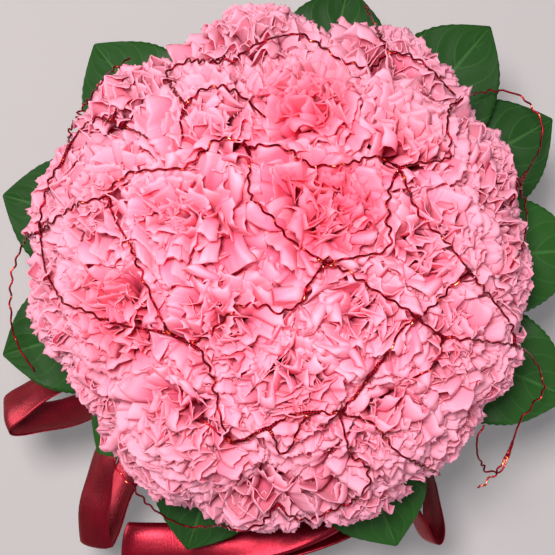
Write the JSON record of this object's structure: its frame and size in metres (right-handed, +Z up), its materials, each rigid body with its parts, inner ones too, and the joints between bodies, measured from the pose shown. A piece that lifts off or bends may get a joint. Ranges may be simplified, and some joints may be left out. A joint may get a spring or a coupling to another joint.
{
  "type": "round hand-tied carnation bouquet",
  "caption": "Round hand-tied bouquet of ruffled pink carnations with a leaf collar, crimped wire over the blooms and a satin bow, standing on its spiralled stems.",
  "frame": {"origin": "middle of the central stem's level cut end, on the surface that the bouquet stands on", "axes": "+Z up along the bouquet's axis, -Y towards the bow, +X to the right in the picture's view from above"},
  "size_m": [0.3117, 0.3181, 0.2918],
  "materials": {
    "petals": "soft matt petals, pale pink at their toothed rims and coral pink in the hearts",
    "stems": "waxy grey-green stems and calyxes",
    "leaves": "leathery dark green blades, satin above",
    "ribbon": "deep crimson satin with a fine cross weave and a bright sheen",
    "wire": "lacquered dark red metallic wire, crimped"
  },
  "bodies": {
    "root": {"bloom_crown_1": "petals", "bloom_crown_2": "petals", "bloom_crown_3": "petals", "bloom_crown_4": "petals", "bloom_crown_5": "petals", "bloom_rim_1": "petals", "bloom_rim_2": "petals", "bloom_rim_3": "petals", "bloom_rim_4": "petals", "bloom_rim_5": "petals", "bloom_rim_6": "petals", "bloom_rim_7": "petals", "bloom_rim_8": "petals", "bloom_rim_9": "petals", "bloom_rim_10": "petals", "bloom_rim_11": "petals", "bloom_rim_12": "petals", "bloom_rim_13": "petals", "bloom_shoulder_1": "petals", "bloom_shoulder_2": "petals", "bloom_shoulder_3": "petals", "bloom_shoulder_4": "petals", "bloom_shoulder_5": "petals", "bloom_shoulder_6": "petals", "bloom_shoulder_7": "petals", "bloom_shoulder_8": "petals", "bloom_shoulder_9": "petals", "stems_1": "stems", "stems_2": "stems", "stems_3": "stems", "stems_4": "stems", "stems_5": "stems", "stems_6": "stems", "stems_7": "stems", "stems_8": "stems", "stems_9": "stems", "leaf_1": "leaves", "leaf_2": "leaves", "leaf_3": "leaves", "leaf_4": "leaves", "leaf_5": "leaves", "leaf_6": "leaves", "leaf_7": "leaves", "leaf_8": "leaves", "leaf_9": "leaves", "leaf_10": "leaves", "leaf_11": "leaves", "leaf_12": "leaves", "ribbon_band": "ribbon", "ribbon_knot": "ribbon", "ribbon_loop_front": "ribbon", "ribbon_loop_left": "ribbon", "ribbon_loop_lower_left": "ribbon", "ribbon_loop_right": "ribbon", "ribbon_tail_left": "ribbon", "ribbon_tail_right": "ribbon", "wire_back": "wire", "wire_crown": "wire"}
  },
  "joints": []
}
